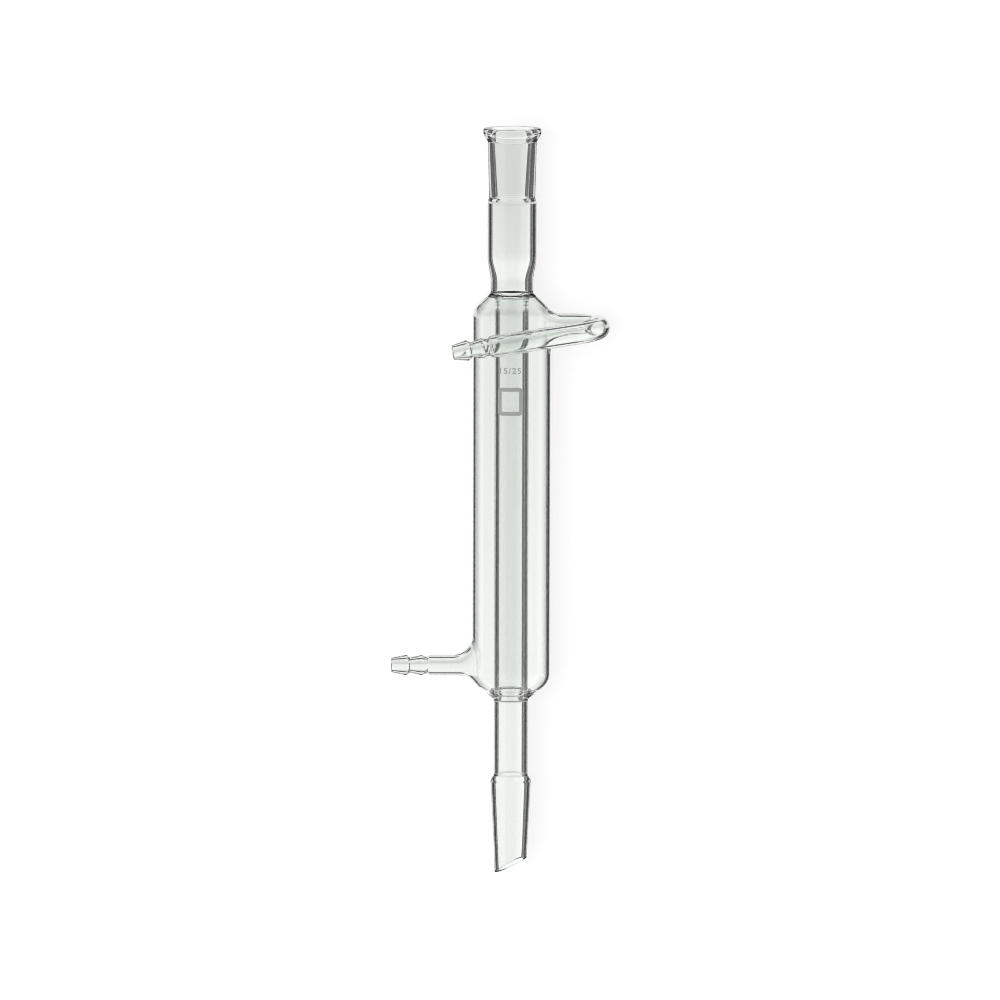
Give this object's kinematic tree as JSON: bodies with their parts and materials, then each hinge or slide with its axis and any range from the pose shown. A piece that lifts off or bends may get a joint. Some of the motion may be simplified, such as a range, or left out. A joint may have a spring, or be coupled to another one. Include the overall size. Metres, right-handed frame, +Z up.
{
  "type": "liebig condenser",
  "caption": "Straight glass water-jacketed condenser with a ground socket, a ground drip cone and a pair of barbed hose arms, one of them bent back past the jacket.",
  "frame": {"origin": "centre of the footprint on the surface that the condenser lies on", "axes": "+X along the condenser's axis from drip tip to socket, +Z up, lower hose arm towards +Y"},
  "size_m": [0.2774, 0.0798, 0.0473],
  "materials": {
    "borosilicate_glass": "clear, fire-polished",
    "fired_marking": "grey-white ceramic ink, fired on"
  },
  "bodies": {
    "root": {"condenser": "borosilicate_glass"}
  },
  "joints": []
}
